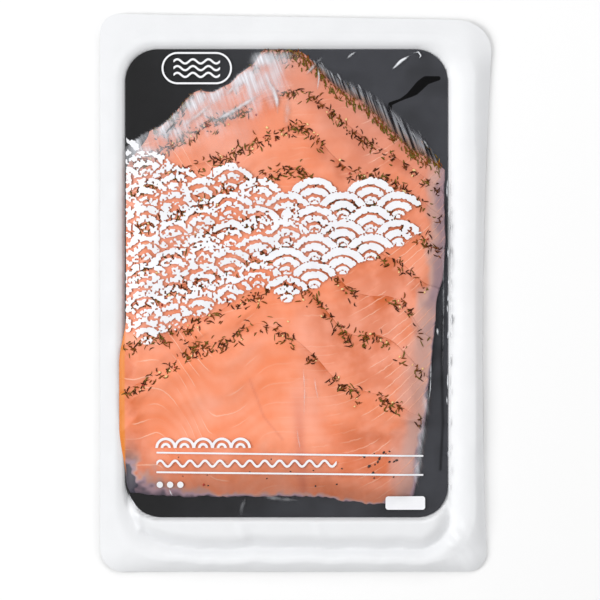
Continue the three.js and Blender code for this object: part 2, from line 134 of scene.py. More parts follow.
def by_side(values, x, y, sideways):
    """A value given for each side, blended round the corners by how much of the way out is sideways."""
    across = np.where(x > 0, values["right"], values["left"])
    along = np.where(y > 0, values["top"], values["bottom"])
    return sideways * across + (1 - sideways) * along


def tray_height(x, y):
    """Height of the tray's upper face: a flat floor with a step round the board, a hump along the bare strip
    that falls away ever faster from the board's lower edge, a wall that climbs ever more slowly, and a
    flange that droops ever more steeply, with a last lip at the bottom."""
    past_foot, _ = beyond(x, y, foot)
    past_mouth, sideways = beyond(x, y, mouth)
    each_side = (FOOT_RISE, FLANGE_TOP, DROOP_FROM, DROOP_LIP, FLANGE_DROOP)
    step, flange, level, lip, droop = (by_side(values, x, y, sideways) for values in each_side)
    wall = np.clip(past_foot / (past_foot - past_mouth), 0, 1)
    climb = step * eased(past_foot, -0.35, 0) + (flange - SHEET - step) * (1 - (1 - wall)**1.6)
    falling = np.clip(1 + past_foot / (BARE_STRIP - STRIP_CREST), 0, 1)
    strip = STRIP_RISE - (STRIP_RISE - step) * falling**1.7
    past_board, _ = beyond(x, y, board_edge)
    strip *= eased(past_board, 0.1, 1.6) * eased(board_edge["bottom"] - y, -8, 0)
    out = np.maximum(flange_share(x, y) - level, 0) / (1 - level)
    return SHEET + np.maximum(strip, climb) - droop * ((1 - lip) * out**1.25 + lip * out**6)


def spread(low, high, zone, crowd, step):
    """Values from low to high, even in the middle and crowded at both ends as 1 minus a cosine."""
    near = zone * (1 - np.cos(np.linspace(0, np.pi / 2, crowd + 1)))[:-1]
    middle = np.linspace(low + zone, high - zone, round((high - low - 2 * zone) / step) + 1)
    return np.concatenate([low + near, middle, (high - near)[::-1]])


def sides_at(y, outline):
    """Left and right x of a rounded rectangle at y: on a corner of radius r a side draws in by
    r - sqrt(r^2 - d^2), d being how far y is past the corner's centre."""
    top_right, top_left, bottom_left, bottom_right = outline["corners"]

    def drawn_in(upper, lower):
        past = np.maximum(y - outline["top"] + upper, 0) + np.maximum(outline["bottom"] + lower - y, 0)
        radius = np.where(y > 0, upper, lower)
        return radius - np.sqrt(np.maximum(radius**2 - past**2, 0))

    left = outline["left"] + drawn_in(top_left, bottom_left)
    return left, outline["right"] - drawn_in(top_right, bottom_right)


def plan_over(outline, zone, crowd, step):
    """A grid of plan points that fills a rounded rectangle, row by row from the bottom."""
    y = spread(outline["bottom"], outline["top"], zone, crowd, step)
    left, right = sides_at(y, outline)
    width = outline["right"] - outline["left"]
    x = left[:, None] + (right - left)[:, None] * spread(0, 1, zone / width, crowd, step / width)
    return x, np.repeat(y[:, None], x.shape[1], axis=1)


def pulled(x, y):
    """The flange out of square: its head side slopes, and its right side leans and bows inwards."""
    amount = flange_share(x, y)**2
    upward, sideways = y / rim["top"], x / rim["right"]
    lean = RIM_LEAN * upward - RIM_BOW * (1 - upward**2)
    return (x + amount * np.maximum(sideways, 0)**4 * lean,
            y - amount * np.maximum(upward, 0)**4 * RIM_LEAN * sideways)


def cloud(x, y, size, seed):
    """Smooth random values from 0 to 1: random numbers on a square lattice, eased between its points."""
    lattice = np.random.default_rng(seed).random((61, 61))
    column, row = np.floor(x / size).astype(int), np.floor(y / size).astype(int)
    u, v = eased(x / size - column, 0, 1), eased(y / size - row, 0, 1)
    corner = [lattice[(row + j) % 61, (column + i) % 61] for j in (0, 1) for i in (0, 1)]
    return (corner[0] * (1 - u) + corner[1] * u) * (1 - v) + (corner[2] * (1 - u) + corner[3] * u) * v


def waver(x, size, seed):
    """Smooth random values from -0.5 to 0.5 along one axis."""
    return cloud(x, 0 * x, size, seed) - 0.5


def joined(*values):
    """Arrays side by side, as one more axis at the end."""
    return np.stack(values, axis=-1)


def grid_faces(rows, columns):
    """Quads over a grid of points stored row by row; they face up where x grows by column and y by row."""
    at = np.arange(rows * columns).reshape(rows, columns)
    return joined(at[:-1, :-1], at[:-1, 1:], at[1:, 1:], at[1:, :-1]).reshape(-1, 4)


def slab(x, y, top, under):
    """A closed sheet between two heights over one plan grid: the upper grid, the lower one turned over, and
    a border of quads that follows the edge once round."""
    rows, columns = x.shape
    points = np.concatenate([joined(x, y, z).reshape(-1, 3) for z in (top, under)])
    upper = grid_faces(rows, columns)
    at = np.arange(rows * columns).reshape(rows, columns)
    border = np.concatenate([at[0, :-1], at[:-1, -1], at[-1, :0:-1], at[:0:-1, 0]])
    ahead = np.roll(border, -1)
    lower = rows * columns
    skirt = joined(border + lower, ahead + lower, ahead, border)
    return points, np.concatenate([upper, upper[:, ::-1] + lower, skirt])


def placed(name, data):
    """A new object of the scene, which holds a mesh, a lamp or a camera."""
    thing = bpy.data.objects.new(name, data)
    bpy.context.scene.collection.objects.link(thing)
    return thing


def add_piece(name, points, faces, finish, slot, nodes=(), marks=(), hard=0):
    """A smooth mesh from points in millimetres and faces of one size, the last of them hard, with named
    values for each point, which rides on the pack and stands for the given nodes."""
    mesh = bpy.data.meshes.new(name)
    mesh.from_pydata((points + [*plan_centre, 0]) * MM, [], faces)
    mesh.polygons.foreach_set("use_smooth", np.arange(len(faces)) < len(faces) - hard)
    for mark, values in dict(marks).items():
        kind, field = ("FLOAT", "value") if values.ndim == 1 else ("FLOAT_VECTOR", "vector")
        attribute = mesh.attributes.new(mark, kind, "POINT")
        attribute.data.foreach_set(field, values.astype(np.float32).ravel())
    mesh.validate()
    mesh.materials.append(finish)
    piece = placed(name, mesh)
    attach(piece, "root")
    if nodes:
        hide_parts(*nodes)


def add_slab(name, x, y, top, under, finish, slot, nodes=(), marks=()):
    """A closed sheet as a piece with hard sides; values for its upper points are repeated below."""
    both = {key: np.concatenate([one.reshape(x.size, -1)] * 2).squeeze() for key, one in dict(marks).items()}
    add_piece(name, *slab(x, y, top, under), finish, slot, nodes, both, 2 * (sum(x.shape) - 2))


class Wire:
    """A socket of a material's nodes. Sums and products of wires and numbers add Math nodes."""

    def __init__(self, tree, socket=None):
        self.tree = tree
        self.socket = socket

    def node(self, kind, settings=(), sockets=(), output=0):
        """Adds a node, sets its settings and its sockets' values or links, and gives one of its outputs."""
        added = self.tree.nodes.new("ShaderNode" + kind)
        for name, value in dict(settings).items():
            setattr(added, name, value)
        for name, value in dict(sockets).items():
            if isinstance(value, Wire):
                self.tree.links.new(value.socket, added.inputs[name])
            else:
                added.inputs[name].default_value = value
        return Wire(self.tree, added.outputs[output])

    def into(self, name, target="Principled BSDF"):
        """Feeds a socket of the material's shader, or of another of its nodes."""
        self.tree.links.new(self.socket, self.tree.nodes[target].inputs[name])

    def math(self, operation, first, second=0.0):
        return self.node("Math", {"operation": operation}, {0: first, 1: second})

    def __add__(self, other):
        return self.math("ADD", self, other)

    def __sub__(self, other):
        return self.math("SUBTRACT", self, other)

    def __rsub__(self, other):
        return self.math("SUBTRACT", other, self)

    def __mul__(self, other):
        return self.math("MULTIPLY", self, other)

    __radd__ = __add__
    __rmul__ = __mul__

    def eased(self, low, high):
        """0 at low, 1 at high and a soft step between; low may be the higher one."""
        ends = {"Value": self, "From Min": low, "From Max": high}
        return self.node("MapRange", {"interpolation_type": "SMOOTHSTEP"}, ends)

    def mixed(self, first, second):
        """A colour between two colours, by this wire as the share of the second."""
        return self.node("Mix", {"data_type": "RGBA"}, {0: self, 6: first, 7: second}, 2)

    def mark(self, name):
        """A value kept for each point of a piece."""
        return self.node("Attribute", {"attribute_name": name}, output=2)

    def marks(self, name):
        """The three values of a vector kept for each point of a piece."""
        vector = self.node("Attribute", {"attribute_name": name}, output=1)
        parted = self.node("SeparateXYZ", (), {0: vector}).socket.node
        return [Wire(self.tree, socket) for socket in parted.outputs]

    def noise(self, scale, detail=2.0, place=None):
        """Noise from 0 to 1, scale in lumps a metre, by object coordinates where no other place is given."""
        place = place or self.node("TexCoord", output=3)
        return self.node("TexNoise", (), {"Vector": place, "Scale": scale, "Detail": detail})

    def bumped(self, distance, strength=1.0):
        """A normal bent by this wire as a height, which is full at the given depth in metres."""
        return self.node("Bump", (), {"Height": self, "Distance": distance, "Strength": strength})


def new_finish(name, **plain):
    """A Principled material with plain socket values, and a wire to add its nodes by."""
    finish = bpy.data.materials.new(name)
    finish.use_nodes = True
    for socket, value in plain.items():
        finish.node_tree.nodes["Principled BSDF"].inputs[socket.replace("_", " ")].default_value = value
    return finish, Wire(finish.node_tree)


def seen(red, green, blue):
    """A linear colour from the 0 to 255 values that it shows on a screen."""
    share = np.array([red, green, blue]) / 255
    linear = np.where(share > 0.04045, ((share + 0.055) / 1.055)**2.4, share / 12.92)
    return (*linear, 1.0)


tray_finish, wire = new_finish("tray_white_sheet", IOR=1.48)
wire.noise(90.0, 3.0).mixed(seen(231, 232, 234), seen(237, 238, 240)).into("Base Color")
(0.3 + 0.2 * wire.noise(260.0)).into("Roughness")
wire.noise(700.0).bumped(0.00004, 0.5).into("Normal")


def near_path(x, y, path):
    """Distance of plan points from a path of straight runs."""
    nearest = np.inf
    for (x0, y0), (x1, y1) in zip(path, path[1:]):
        run_x, run_y = x1 - x0, y1 - y0
        share = np.clip(((x - x0) * run_x + (y - y0) * run_y) / (run_x**2 + run_y**2), 0, 1)
        nearest = np.minimum(nearest, np.hypot(x - x0 - share * run_x, y - y0 - share * run_y))
    return nearest


def tray_surface(x, y):
    """The tray's upper face with soft dents in its flange, a faint line from the sealing bar at the head, a
    dent with wrinkles across the lower right corner, two leaning ribs across the bare strip and a tongue
    beside the board's lower left corner. Its lower and right sides wander."""
    past_mouth, _ = beyond(x, y, mouth)
    fixed = 1 - flange_share(x, y)**2
    moved_x = x + waver(y, 16.0, 23) * eased(x, 72, 78) * fixed
    moved_y = y + (2.2 * waver(x, 15.0, 24) + 0.8 * waver(x, 4.5, 27)) * eased(-y, 104, 110) * fixed
    dents = FLANGE_DENT * (cloud(x, y, FLANGE_DENT_SIZE, 3) - 0.5) * eased(past_mouth, -2, 3)
    line = SEAL_LINE * bell(past_mouth - 2.6, 0.45) * eased(y, 90, 104) * cloud(x, 0 * x, 25.0, 4)
    folded = np.sin((x + 0.7 * y) / 0.9 + 5 * cloud(x, y, 9.0, 9)) * eased(cloud(x, y, 6.0, 19), 0.3, 0.8)
    wrinkles = WRINKLE * folded * bell(np.hypot(x - 74, y + 111), 9)
    corner_dent = CORNER_DENT * bell(np.hypot(x - 73, 1.4 * (y + 116)), 5)
    ribs = sum(bell(x - middle + lean * (y - STRIP_Y), 1.6) for middle, lean in STRIP_RIBS)
    ribs *= RIB_RISE * eased(-y, 101, 105) * eased(-y, 113, 109)
    ribs += TONGUE_RISE * bell(near_path(x, y, TONGUE), 1.4)
    return tray_height(moved_x, moved_y) + dents - line + wrinkles - corner_dent + ribs


x, y = plan_over(rim, TRAY_ZONE, 54, TRAY_CELL)
tray_top = tray_surface(x, y)
add_slab("tray_sheet", *pulled(x, y), tray_top, np.maximum(tray_top - SHEET, 0), tray_finish, "tray",
         ["tray"])


# Board: a black coated card with round corners and a softened edge, die cut to the tray's floor. It stiffens
# the pack and shows round the salmon as its black ground. The film's reflection is painted on it: a grey
# sheen where the film lies on it dry, and near black along the wet band, where that reflection is gone.
BOARD_EDGE = 0.35
BOARD_CELL = 0.9
WET_BAND = [(44.8, 73.6), (44.4, 76.9), (49, 78.8), (52.1, 80.6), (56, 83.7), (59.9, 87), (65.5, 88)]
WET_HALF = ((44, 0.8), (46, 0.7), (49, 0.5), (52, 1.0), (56, 2.2), (60, 1.9), (63, 1.3), (66, 0.8))
WET_LINE = [(67.3, -12), (66.6, -34), (67.2, -60), (66.1, -80)]
WET_LINE_HALF = 1.3

board_finish, wire = new_finish("board_black_coat", IOR=1.5, Specular_IOR_Level=0.1)
# Painted reflection: the coat turns grey with the dry film's sheen, and near black on the wet band.
dry_sheen_share, wet_share, _ = wire.marks("cling")
coat_and_sheen = dry_sheen_share.mixed(seen(40, 40, 41), seen(70, 71, 76))
coat_and_sheen = (0.2 * wire.noise(140.0, 3.0)).mixed(coat_and_sheen, seen(20, 20, 21))
wet_share.eased(1.1, 0.9).mixed(coat_and_sheen, seen(8, 8, 9)).into("Base Color")
(0.32 + 0.16 * wire.noise(400.0)).into("Roughness")

x, y = plan_over(board_edge, max(BOARD_CORNERS), 25, BOARD_CELL)
inward = np.clip(-beyond(x, y, board_edge)[0] / BOARD_EDGE, 0, 1)
board_round = BOARD_EDGE * (1 - np.sqrt(1 - (1 - inward)**2))
wetness = near_path(x, y, WET_BAND) / np.interp(x, *np.transpose(WET_HALF))
wetness = np.minimum(wetness, 0.97 + 0.13 * near_path(x, y, WET_LINE) / WET_LINE_HALF)
# Where the painted sheen shows: more towards the upper right, along the board's lower edge, and in clouds.
dry_sheen = eased(x + 0.35 * y, -40, 66)
dry_sheen = np.maximum(dry_sheen, 0.6 * eased(-y, 84, 95) * eased(x, -60, 5))
dry_sheen *= 0.4 + 0.75 * cloud(x, y, 14.0, 33) + 0.45 * cloud(x, y, 6.0, 34)
add_slab("board_card", x, y, board_high[2] - board_round, board_low[2] + board_round, board_finish,
         "board", ["board"], {"cling": joined(dry_sheen, wetness, 0 * wetness)})


# Slices: cured salmon, cut thin on the slant and laid like shingles from the pack's head down, each over the
# one before. A slice's head edge is a chevron about the fish's back line, pale fat lines run through the
# flesh, and thin margins turn mauve where they are nearly clear over the black board.
SLICES = 8
LAST = SLICES - 1
PITCH = 16.8
SLICE_SPAN = 3
TAIL_LINE = 11.5
SLICE_THICK = 2.2
EDGE_THICK = 0.3
EDGE_ROUND = 2.6
EDGE_TAPER = 9.0
HEAD_Y = 101.2
PEAK_X = 5.8
LAST_PEAK_X = -12.0
PEAK_ROUND = 6.0
LEFT_X = -68.8
LEFT_BULGE = 2.9
RIGHT_X = 65.2
ROWS_A_LINE = 20
SLICE_COLUMNS = 200
TOUCH = 0.02
FILLED = 0.8


def edge_wander(x, line):
    """How far a shingle line strays below its chevron: a long wave, shorter steps in the right arm, a fine
    rag, a sag that grows towards the tail, a drooping right end of the middle slices, a step in the last
    one's left arm, and in the first line two bulges, notches and a raised right end."""
    wave = 0.9 * np.sin(x / 9 + 2.1 * line)
    steps = 1.1 * np.sin(x / 6.1 + 1.7 * line) * eased(x, 0, 20)
    rag = 0.3 * np.sin(x / 1.9 + 9 * line) * np.cos(x / 5.3 + line)
    counted = np.clip(line, 0, LAST)
    sag = (5 + 0.6 * counted) * bell(x - 22 - 0.6 * counted, 13)
    ends = 9 * eased(x, 48, 60) * bell(line - 4.8, 0.9) + 4 * bell(x + 25, 7) * eased(line, LAST - 1, LAST)
    bulges = 5.5 * bell(x + 40, 8) + 4 * bell(x + 9, 6) + 4 * eased(x, 50, 64)
    notches = 1.5 * waver(x, 3.4, 14) * eased(x, 2, -12)
    return wave + steps + rag + sag + ends - (bulges + notches) * np.exp(-2 * np.abs(line))


def tail_drop(x):
    """How far the last slice's tail edge hangs below its mean: lowest right of the middle, with round
    corners and a ragged cut."""
    return (3.4 * eased(x, 5, 40) - 6.5 * eased(x, 46, 60) - 1.8 * eased(x, -48, -70) - 0.6
            + 0.9 * waver(x, 6.0, 15) + 0.6 * waver(x, 1.7, 16))


def line_y(x, line):
    """y of a shingle line: a chevron rounded at its peak, with a steeper right arm whose slope follows a
    parabola over the lines. The last slice's chevron peaks farther left, and the lines below it straighten
    out to the tail edge."""
    to_last = eased(line, LAST - 1, LAST)
    away = x - PEAK_X - (LAST_PEAK_X - PEAK_X) * to_last
    fade = np.clip((TAIL_LINE - line) / (TAIL_LINE - LAST), 0, 1)
    right_slope = 0.62 + 0.35 * ((np.clip(line, 0, LAST) - 3.7) / 3.5)**2 * (1 - to_last)
    left_slope = 0.41 + 0.21 * np.exp(-np.maximum(line, 0)) + 0.15 * to_last
    slope = np.where(away > 0, right_slope, left_slope)
    run = np.hypot(away, PEAK_ROUND) - PEAK_ROUND
    return HEAD_Y - PITCH * line - fade * (slope * run + edge_wander(x, line)) - (1 - fade) * tail_drop(x)


def line_ends(line):
    """Left and right ends of shingle lines on the salmon's sides, by repeated trial: the left side bulges
    out over the tray's wall, and the right one draws in towards the tail."""
    left, right = LEFT_X, RIGHT_X
    for _ in range(5):
        low, high = line_y(left, line), line_y(right, line)
        bulge = LEFT_BULGE * eased(low, -14, -34) * eased(low, -86, -62)
        left = LEFT_X - bulge + 10.0 * eased(low, 48, 66) + 2.5 * eased(low, -85, -93)
        right = RIGHT_X + 2.9 * eased(high, -6, 10) - 10.5 * (np.maximum(-high, 0) / 92)**1.4
        right += 1.3 * waver(high, 9.0, 17)
    return left, right


def around(height):
    """The mean of each height's four neighbours in its grid."""
    wide = np.pad(height, 1, mode="edge")
    return (wide[:-2, 1:-1] + wide[2:, 1:-1] + wide[1:-1, :-2] + wide[1:-1, 2:]) / 4


def lifted(height, passes):
    """A soft sheet laid on a bed: each height is raised to its neighbours' mean, over and over."""
    for _ in range(passes):
        height = np.maximum(height, around(height))
    return height


def ground(x, y):
    """Height of the bare board, or of the tray outside it."""
    tray = tray_height(x, y)
    return np.where(beyond(x, y, board_edge)[0] < 0, np.maximum(tray, board_high[2]), tray)


# Rows run from the tail up, so that the faces of a slice look upwards.
lines = np.linspace(TAIL_LINE, 0, round(TAIL_LINE * ROWS_A_LINE) + 1)
line_left, line_right = line_ends(lines)
across = np.linspace(0, 1, SLICE_COLUMNS + 1)
laid_x = line_left[:, None] + (line_right - line_left)[:, None] * across
laid_y = line_y(laid_x, lines[:, None])
pile = ground(laid_x, laid_y)

salmon_finish, wire = new_finish("salmon_flesh", IOR=1.42)


def thin_lines(phase, width):
    """1 on thin lines, once in each unit of the phase, and 0 between."""
    return wire.math("ABSOLUTE", wire.math("FRACT", phase) - 0.5).eased(width, 0.0)


left_grain, right_grain, rightness = wire.marks("grain")
fat_share, clear_share, seam_share = wire.marks("flesh")
deep_and_shade_share, pale_share, rim_share = wire.marks("tint")
fine = wire.noise(420.0, 3.0) - 0.5
fat = rightness * thin_lines(right_grain + 0.3 * fine, 0.1)
fat = (fat + (1 - rightness) * thin_lines(left_grain + 0.1 * fine, 0.065)) * fat_share
bands = rightness * thin_lines(right_grain + 0.35, 0.5)
bands += (1 - rightness) * thin_lines(left_grain + 0.3, 0.5)
clouding = wire.noise(60.0, 5.0).eased(0.3, 0.72)
patches = wire.noise(85.0, 3.0).eased(0.35, 0.65)
flesh = (0.78 * clouding + 0.22 * bands).mixed(seen(246, 141, 97), seen(253, 168, 136))

# One over the other: pink clouds, deep patches with painted shade at the sides, the pale head, fat lines,
# seams, a veil on thin flesh, painted shade at the tail, margins that turn mauve and then nearly black, and
# the rim over the tray.
layers = [
    (0.35 * wire.noise(38.0).eased(0.45, 0.7), seen(255, 190, 172)),
    (deep_and_shade_share * (0.35 + 0.65 * patches), seen(206, 100, 48)),
    (pale_share, seen(210, 144, 126)),
    (0.65 * fat, seen(255, 206, 180)),
    (0.6 * seam_share, seen(206, 110, 88)),
    (clear_share.eased(0.0, 0.55) * (1 - 0.8 * fat), seen(214, 168, 156)),
    (wire.mark("dusk"), seen(108, 56, 36)),
    (clear_share.eased(0.45, 0.8) * (1 - 0.6 * fat), seen(158, 130, 140)),
    (clear_share.eased(0.7, 1.08) * (1 - 0.4 * fat), seen(60, 56, 68)),
    (rim_share, seen(224, 130, 44)),
]
for share, colour in layers:
    flesh = share.mixed(flesh, colour)
flesh.into("Base Color")
(0.34 + 0.2 * wire.noise(300.0)).into("Roughness")
(0.8 * fat + wire.noise(160.0, 3.0)).bumped(0.00022, 0.45).into("Normal")

CREASE = [(-21.5, -25), (-18, -34), (-15.5, -41), (-10, -47.5), (-7.5, -50.5)]
LEFT_FAT_STEP = 7.4
RIGHT_FAT_STEP = 4.4
FAT_SWEEP = 0.012
SWELL = 0.3
LEAST_THICK = 0.04
DRAPE_PASSES = 60

for index in range(SLICES):
    tail = TAIL_LINE if index == LAST else index + SLICE_SPAN
    rows = slice(round((TAIL_LINE - tail) * ROWS_A_LINE), round((TAIL_LINE - index) * ROWS_A_LINE) + 1)
    x, y, line = laid_x[rows], laid_y[rows], lines[rows, None]
    from_left, from_right = x - line_left[rows, None], line_right[rows, None] - x
    from_head, from_tail = (line - index) * PITCH * FILLED, (tail - line) * PITCH * FILLED
    inset = np.minimum(np.minimum(from_head, from_tail), np.minimum(from_left, from_right))
    thick = EDGE_THICK + (SLICE_THICK - EDGE_THICK) * eased(inset, 0, EDGE_TAPER)
    thick = np.maximum(thick * eased(inset, 0, EDGE_ROUND), LEAST_THICK)
    swell = SWELL * (cloud(x, y + 31 * index, 8.0, 5) - 0.5) * eased(inset, 0, 4)
    under = lifted(pile[rows] + TOUCH, DRAPE_PASSES)
    top = under + thick + swell
    pile[rows] = top

    # Fat lines: their phase in the left and the right half, where the right half begins, and their strength.
    side, up = x - PEAK_X, y - HEAD_Y + PITCH * index
    arms = -34 * eased(side, -62, -35) + 14 * eased(side, -32, -6)
    left_phase = (up - arms) / LEFT_FAT_STEP + 0.31 * index
    left_phase += 0.9 * (cloud(x, y + 17 * index, 11.0, 6) - 0.5)
    right_phase = (up - FAT_SWEEP * np.maximum(side - 6, 0)**2) / RIGHT_FAT_STEP + 0.43 * index
    right_phase += 0.8 * (cloud(x, y + 13 * index, 19.0, 25) - 0.5)
    faint = eased(cloud(x + 53 * index, y, 7.0, 7), 0.35, 0.75)
    fatness = faint * (0.35 + 0.65 * np.maximum(eased(side, 16, 40), eased(side, -14, -40)))

    # Clear margins: a mauve band and a bare edge on the right, and the last slice's tail and left corner.
    ragged, blotch = cloud(x, y, 3.0, 8) - 0.5, cloud(x, y, 5.0, 26) - 0.5
    lower, lowest = eased(-y, 0, 40), eased(-y, 50, 80)
    margin = np.maximum(from_right + 2.2 * ragged + 4 * blotch, 0) / (8.5 + 5.5 * lower)
    thin = (0.74 - 0.29 * lower + 0.1 * lowest) * np.clip(1 - margin**2, 0, 1)
    bare = 1 + 2 * eased(-y, 20, 50) + 3 * lowest
    thin = np.maximum(thin, eased(from_right + 1.5 * ragged, bare, -0.4))
    seam, dusk = 0 * x, 0 * x
    if index == LAST:
        from_board = x - board_edge["left"] + 2.5 * ragged
        torn = ragged + 1.1 * (cloud(x, y, 1.7, 28) - 0.5)
        corner = np.hypot(np.maximum(from_board, 0) / 1.7, np.maximum(from_tail - 1, 0))
        bare = 2.4 + 7 * eased(x, -28, -52)
        thin = np.maximum(thin, eased(from_tail + 1.6 * torn, bare, -0.6))
        thin = np.maximum(thin, eased(corner + 5 * torn, 17, 0))
        thin = np.maximum(thin, 1.5 * eased(from_board + 2.5 * torn, 8, 0) * eased(-y, 70, 82))
        # Painted shade: darker brown towards the tail edge, and along the board's left edge near the tail.
        dusk = 0.5 * eased(from_tail + 2 * torn, 24, 2)
        dusk = np.maximum(dusk, eased(from_board + 2 * torn, 8, 0) * eased(-y, 62, 80))
        seam = 0.75 * bell(side + 3 + 0.06 * up, 2.4) * eased(up, -22, -48)
        seam = np.maximum(seam, 0.55 * bell(near_path(side, up, CREASE), 0.5))

    # Tints: deeper under the head edge and on the right side, paler at the pack's head, orange over the
    # tray.
    # Painted shade: deeper orange along the left side lower down, and in the lower right.
    shaded = eased(from_left, 13 + 6 * eased(-y, 58, 72), 6) * eased(-y, 24, 42)
    shaded += 0.4 * eased(x, 10, 30) * eased(-y, 58, 68)
    deep_and_shade = 0.85 * np.exp(-from_head / 6.0) * eased(cloud(x, y, 6.0, 10), 0, 0.7)
    deep_and_shade += 0.42 * eased(side, -8, 26) + 0.8 * shaded
    pale = 0.85 * np.exp(-line / 1.5) * (0.6 + 0.8 * cloud(x, y, 9.0, 11))
    overhang = eased(x - board_edge["left"], 0.4, -0.4)
    marks = {"grain": joined(left_phase, right_phase, eased(side, -12, 6)),
             "flesh": joined(fatness, thin, seam),
             "tint": joined(deep_and_shade, pale, overhang), "dusk": dusk}
    name = f"slice_{index + 1}"
    add_slab(f"salmon_{name}", x, y, top, under, salmon_finish, "salmon", [name], marks)


# Dill: chopped needles pressed on along each slice's head edge before it is laid, in loose clusters with
# bare stretches between, together with a few pale seeds, red bits and pepper specks.
NEEDLES_A_SLICE = 470
NEEDLE_LENGTH = 3.1
NEEDLE_THICK = 0.25
NEEDLE_BAND = 1.9
NEEDLE_BARE = 0.42
SPICE_BARE = 0.4
SEEDS_A_SLICE = 24
CRUMBS_A_SLICE = 9
LONE_CRUMB = (-35.5, -86.4)
PEPPER_HEAP = 14
PEPPER_LOOSE = 16
HALVINGS = 18


def line_at(x, y):
    """The shingle line through a plan point, by steps up or down the lines, each half the one before."""
    line, step = np.full_like(x, TAIL_LINE / 2), TAIL_LINE / 4 + 2
    for _ in range(HALVINGS):
        line += np.where(line_y(x, line) > y, step, -step)
        step /= 2
    return line


def between(grid, row, column):
    """A grid's values at broken rows and columns, blended straight between the nearest four."""
    i = np.clip(row.astype(int), 0, len(grid) - 2)
    j = np.clip(column.astype(int), 0, grid.shape[1] - 2)
    v, u = row - i, column - j
    return ((grid[i, j] * (1 - u) + grid[i, j + 1] * u) * (1 - v)
            + (grid[i + 1, j] * (1 - u) + grid[i + 1, j + 1] * u) * v)


def laid_height(x, y):
    """Top of the laid salmon, from the pile's grid, and past its edges of the board or the tray."""
    line = line_at(x, y)
    left, right = (np.interp(-line, -lines, ends) for ends in (line_left, line_right))
    share = (x - left) / (right - left)
    inside = (line > 0) & (line < TAIL_LINE) & (share > 0) & (share < 1)
    height = between(pile, (TAIL_LINE - line) * ROWS_A_LINE, share * SLICE_COLUMNS)
    return np.where(inside, height, ground(x, y))


def spindle_faces(count, rings, corners):
    """Triangles of closed spindles, each stored as a tip, rings of corners and a tip: a fan at both tips and
    two triangles for each side between rings."""
    at, after = np.arange(corners), np.roll(np.arange(corners), -1)
    low = 1 + corners * np.arange(rings - 1)[:, None]
    high = low + corners
    last = 1 + corners * rings
    shape = np.concatenate([joined(0 * at, 1 + after, 1 + at),
                            joined(low + at, high + after, high + at).reshape(-1, 3),
                            joined(low + at, low + after, high + after).reshape(-1, 3),
                            joined(0 * at + last, last - corners + at, last - corners + after)])
    return (shape[None] + (last + 1) * np.arange(count)[:, None, None]).reshape(-1, 3)


def needle_mesh(start, end, bow, thick):
    """Needles from start to end: four-sided spindles along a bowed path on the pile, with two rings between
    the tips."""
    count = len(start)
    share = np.array([0, 0.3, 0.7, 1])[None, :, None]
    way = end - start
    sideways = joined(-way[:, 1], way[:, 0]) / np.linalg.norm(way, axis=1)[:, None]
    bowed = (sideways * bow[:, None])[:, None] * share * (1 - share) * 4
    path = start[:, None] + way[:, None] * share + bowed
    height = laid_height(path[..., 0], path[..., 1])
    turn = np.arange(4) * np.pi / 2
    wide = sideways[:, None, None] * (np.cos(turn) * thick[:, None])[:, None, :, None]
    rings = path[:, 1:3, None] + wide
    rings_z = height[:, 1:3, None] + thick[:, None, None] * (0.8 + np.sin(turn))
    middle = np.concatenate([rings, rings_z[..., None]], axis=-1).reshape(count, 8, 3)
    tips = np.concatenate([path[:, [0, 3]], (height[:, [0, 3]] + thick[:, None] * 0.8)[..., None]], axis=-1)
    points = np.concatenate([tips[:, :1], middle, tips[:, 1:]], axis=1)
    return points.reshape(-1, 3), spindle_faces(count, 2, 4)


def edge_gap(x):
    """How far the film spans over the board from the salmon's upper right edge, measured along y."""
    return np.interp(x, (8, 25, 38, 45, 52, 58, 65), (2.5, 5.4, 6.8, 7.8, 8.8, 8.0, 4.5))


draw = np.random.default_rng(12)


def along_edges(count, band, bare):
    """Plan points along all head edges, and which edge each is on: even draws over each edge, thinned to
    clusters with bare stretches, and set back by a bell-shaped distance."""
    edge = np.append(np.repeat(np.arange(SLICES), count), np.zeros(count, int))
    left, right = line_ends(edge.astype(float))
    x = left + 2 + (right - left - 4) * draw.random(len(edge))
    setback = draw.normal(1.6, band, len(edge))
    hung = 5.5 - (5.5 + 0.5 * edge_gap(x)) * draw.random(len(edge))
    outward = np.where(x > PEAK_X + 6, hung, np.abs(setback))
    y = line_y(x, edge.astype(float)) - np.where(edge > 0, setback, outward)
    crowd = 0.6 * cloud(x + 40 * edge, 0 * x + 7 * edge, 9.0, 21) + 0.4 * cloud(x, y, 3.0, 22)
    crowd += 0.3 * (edge == 0) * eased(x, 2, 12)
    kept = crowd + 0.2 * (draw.random(len(edge)) - 0.5) > bare
    return x[kept], y[kept], edge[kept]


x, y, edge = along_edges(NEEDLES_A_SLICE, NEEDLE_BAND, NEEDLE_BARE)
count = len(x)
combed = (edge == 0) & (x > PEAK_X)
heading = np.where(combed, draw.normal(1.9, 0.35, count), draw.uniform(0, np.pi, count))
reach = NEEDLE_LENGTH * draw.uniform(0.3, 1.2, count) / 2
step = joined(np.cos(heading), np.sin(heading)) * reach[:, None]
middle = joined(x, y)
bow = draw.normal(0, 0.4, count)
thick = NEEDLE_THICK * draw.uniform(0.6, 1.3, count)
tone = np.where(combed, 0.45, 0) + draw.random(count) * np.where(combed, 0.47, 0.9)
needles = needle_mesh(middle - step, middle + step, bow, thick)

dill_finish, wire = new_finish("dill_needle", IOR=1.45, Roughness=0.7, Specular_IOR_Level=0.2)
hue = wire.mark("tone")
dill = hue.eased(0.3, 0.5).mixed(seen(72, 34, 8), seen(132, 74, 20))
dill = hue.eased(0.58, 0.72).mixed(dill, seen(112, 98, 30))
hue.eased(0.86, 0.94).mixed(dill, seen(186, 138, 56)).into("Base Color")
tones = {"tone": np.repeat(tone, len(needles[0]) // count)}
add_piece("dill_needles", *needles, dill_finish, "dill", marks=tones)


